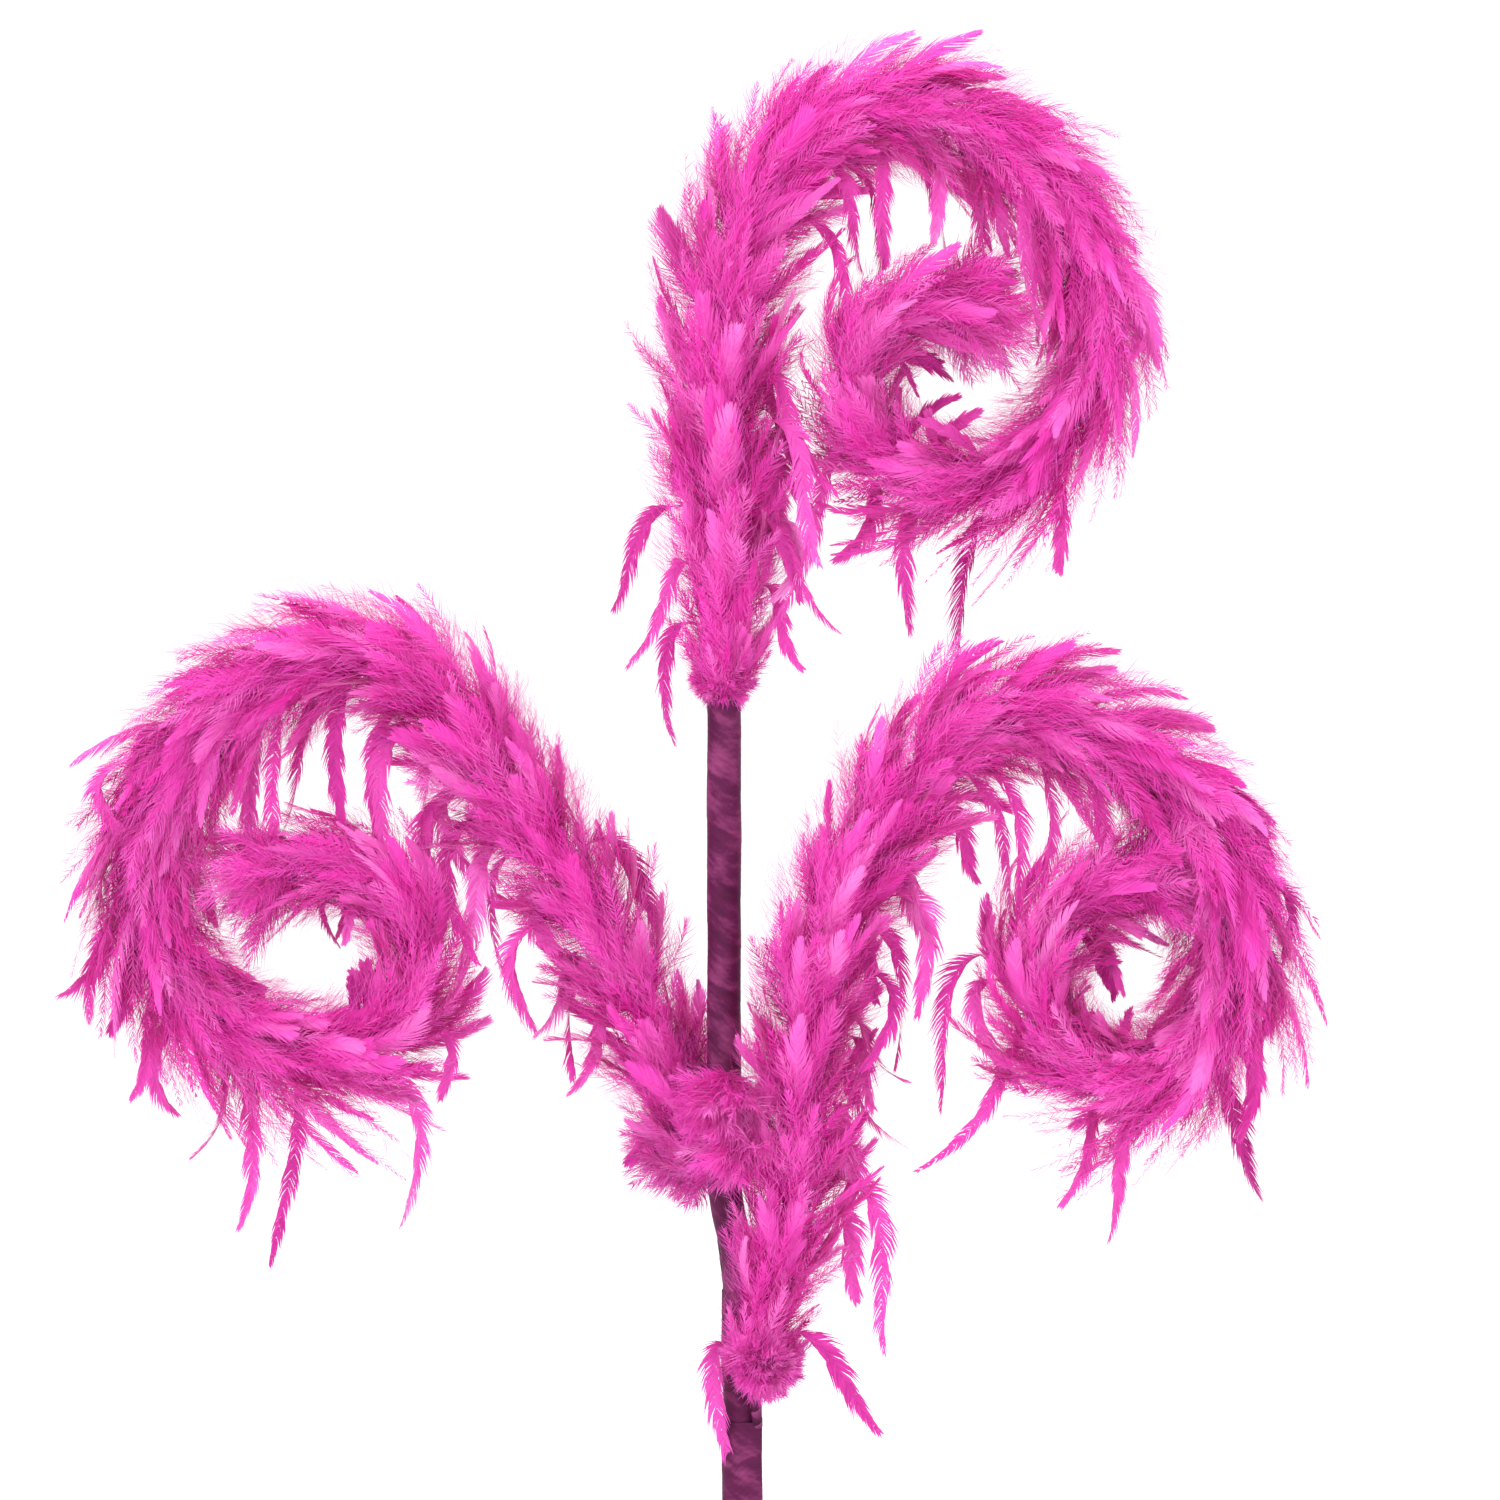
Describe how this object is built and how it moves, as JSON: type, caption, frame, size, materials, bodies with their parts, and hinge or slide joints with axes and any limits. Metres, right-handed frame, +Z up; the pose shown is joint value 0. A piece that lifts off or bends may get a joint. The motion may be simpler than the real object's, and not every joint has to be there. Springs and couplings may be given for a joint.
{
  "type": "curly feather spray",
  "caption": "Curly feather spray: tape-wrapped stem with wired feather-boa fronds that arch over and wind into spirals.",
  "frame": {"origin": "centre of the stem's foot", "axes": "+Z up along the stem, +X to the right as seen from the front, fronds spread in X and Z, front faces -Y"},
  "size_m": [0.4977, 0.077, 0.7481],
  "materials": {
    "feather_down": "matte",
    "hackle_feather": "satin",
    "boa_cord": "matte",
    "crepe_tape": "matte",
    "stem_paper": "matte",
    "steel_wire": "satin"
  },
  "bodies": {
    "stem": {"stem_rod": "steel_wire", "stem_padding": "stem_paper", "stem_tape_lower": "crepe_tape", "stem_tape_upper": "crepe_tape", "left_leg_wire": "steel_wire", "right_leg_wire": "steel_wire", "left_tie_tape": "crepe_tape", "right_tie_tape": "crepe_tape"},
    "top_arm": {"top_arm_wire": "steel_wire", "top_arm_cord": "boa_cord", "top_root_binding": "crepe_tape", "top_arm_hackles": "hackle_feather", "top_feathers_1": "feather_down", "top_feathers_2": "feather_down", "top_feathers_3": "feather_down", "top_feathers_4": "feather_down", "top_feathers_5": "feather_down"},
    "top_curl": {"top_curl_wire": "steel_wire", "top_curl_cord": "boa_cord", "top_tip_binding": "boa_cord", "top_curl_hackles": "hackle_feather", "top_feathers_6": "feather_down", "top_feathers_7": "feather_down", "top_feathers_8": "feather_down"},
    "left_arm": {"left_arm_wire": "steel_wire", "left_arm_cord": "boa_cord", "left_root_binding": "crepe_tape", "left_arm_hackles": "hackle_feather", "left_feathers_1": "feather_down", "left_feathers_2": "feather_down", "left_feathers_3": "feather_down", "left_feathers_4": "feather_down", "left_feathers_5": "feather_down", "left_feathers_6": "feather_down"},
    "left_curl": {"left_curl_wire": "steel_wire", "left_curl_cord": "boa_cord", "left_tip_binding": "boa_cord", "left_curl_hackles": "hackle_feather", "left_feathers_7": "feather_down", "left_feathers_8": "feather_down", "left_feathers_9": "feather_down"},
    "right_arm": {"right_arm_wire": "steel_wire", "right_arm_cord": "boa_cord", "right_root_binding": "crepe_tape", "right_arm_hackles": "hackle_feather", "right_feathers_1": "feather_down", "right_feathers_2": "feather_down", "right_feathers_3": "feather_down", "right_feathers_4": "feather_down", "right_feathers_5": "feather_down", "right_feathers_6": "feather_down"},
    "right_curl": {"right_curl_wire": "steel_wire", "right_curl_cord": "boa_cord", "right_tip_binding": "boa_cord", "right_curl_hackles": "hackle_feather", "right_feathers_7": "feather_down", "right_feathers_8": "feather_down", "right_feathers_9": "feather_down"}
  },
  "joints": [
    {"name": "top_root_bend", "type": "hinge", "parent": "stem", "child": "top_arm", "pos_m": [-0.00637, 0, 0.492], "axis": [0, 1, 0], "range_deg": [-20, 20]},
    {"name": "top_curl_bend", "type": "hinge", "parent": "top_arm", "child": "top_curl", "pos_m": [0.1399, 0, 0.6658], "axis": [0, 1, 0], "range_deg": [-12, 12]},
    {"name": "left_root_bend", "type": "hinge", "parent": "stem", "child": "left_arm", "pos_m": [-0.0105, 0.014, 0.298], "axis": [0, 1, 0], "range_deg": [-25, 0]},
    {"name": "left_curl_bend", "type": "hinge", "parent": "left_arm", "child": "left_curl", "pos_m": [-0.2469, 0.014, 0.4167], "axis": [0, 1, 0], "range_deg": [-12, 12]},
    {"name": "right_root_bend", "type": "hinge", "parent": "stem", "child": "right_arm", "pos_m": [0.006, -0.015, 0.218], "axis": [0, 1, 0], "range_deg": [0, 25]},
    {"name": "right_curl_bend", "type": "hinge", "parent": "right_arm", "child": "right_curl", "pos_m": [0.1765, -0.015, 0.4594], "axis": [0, 1, 0], "range_deg": [-12, 12]}
  ]
}
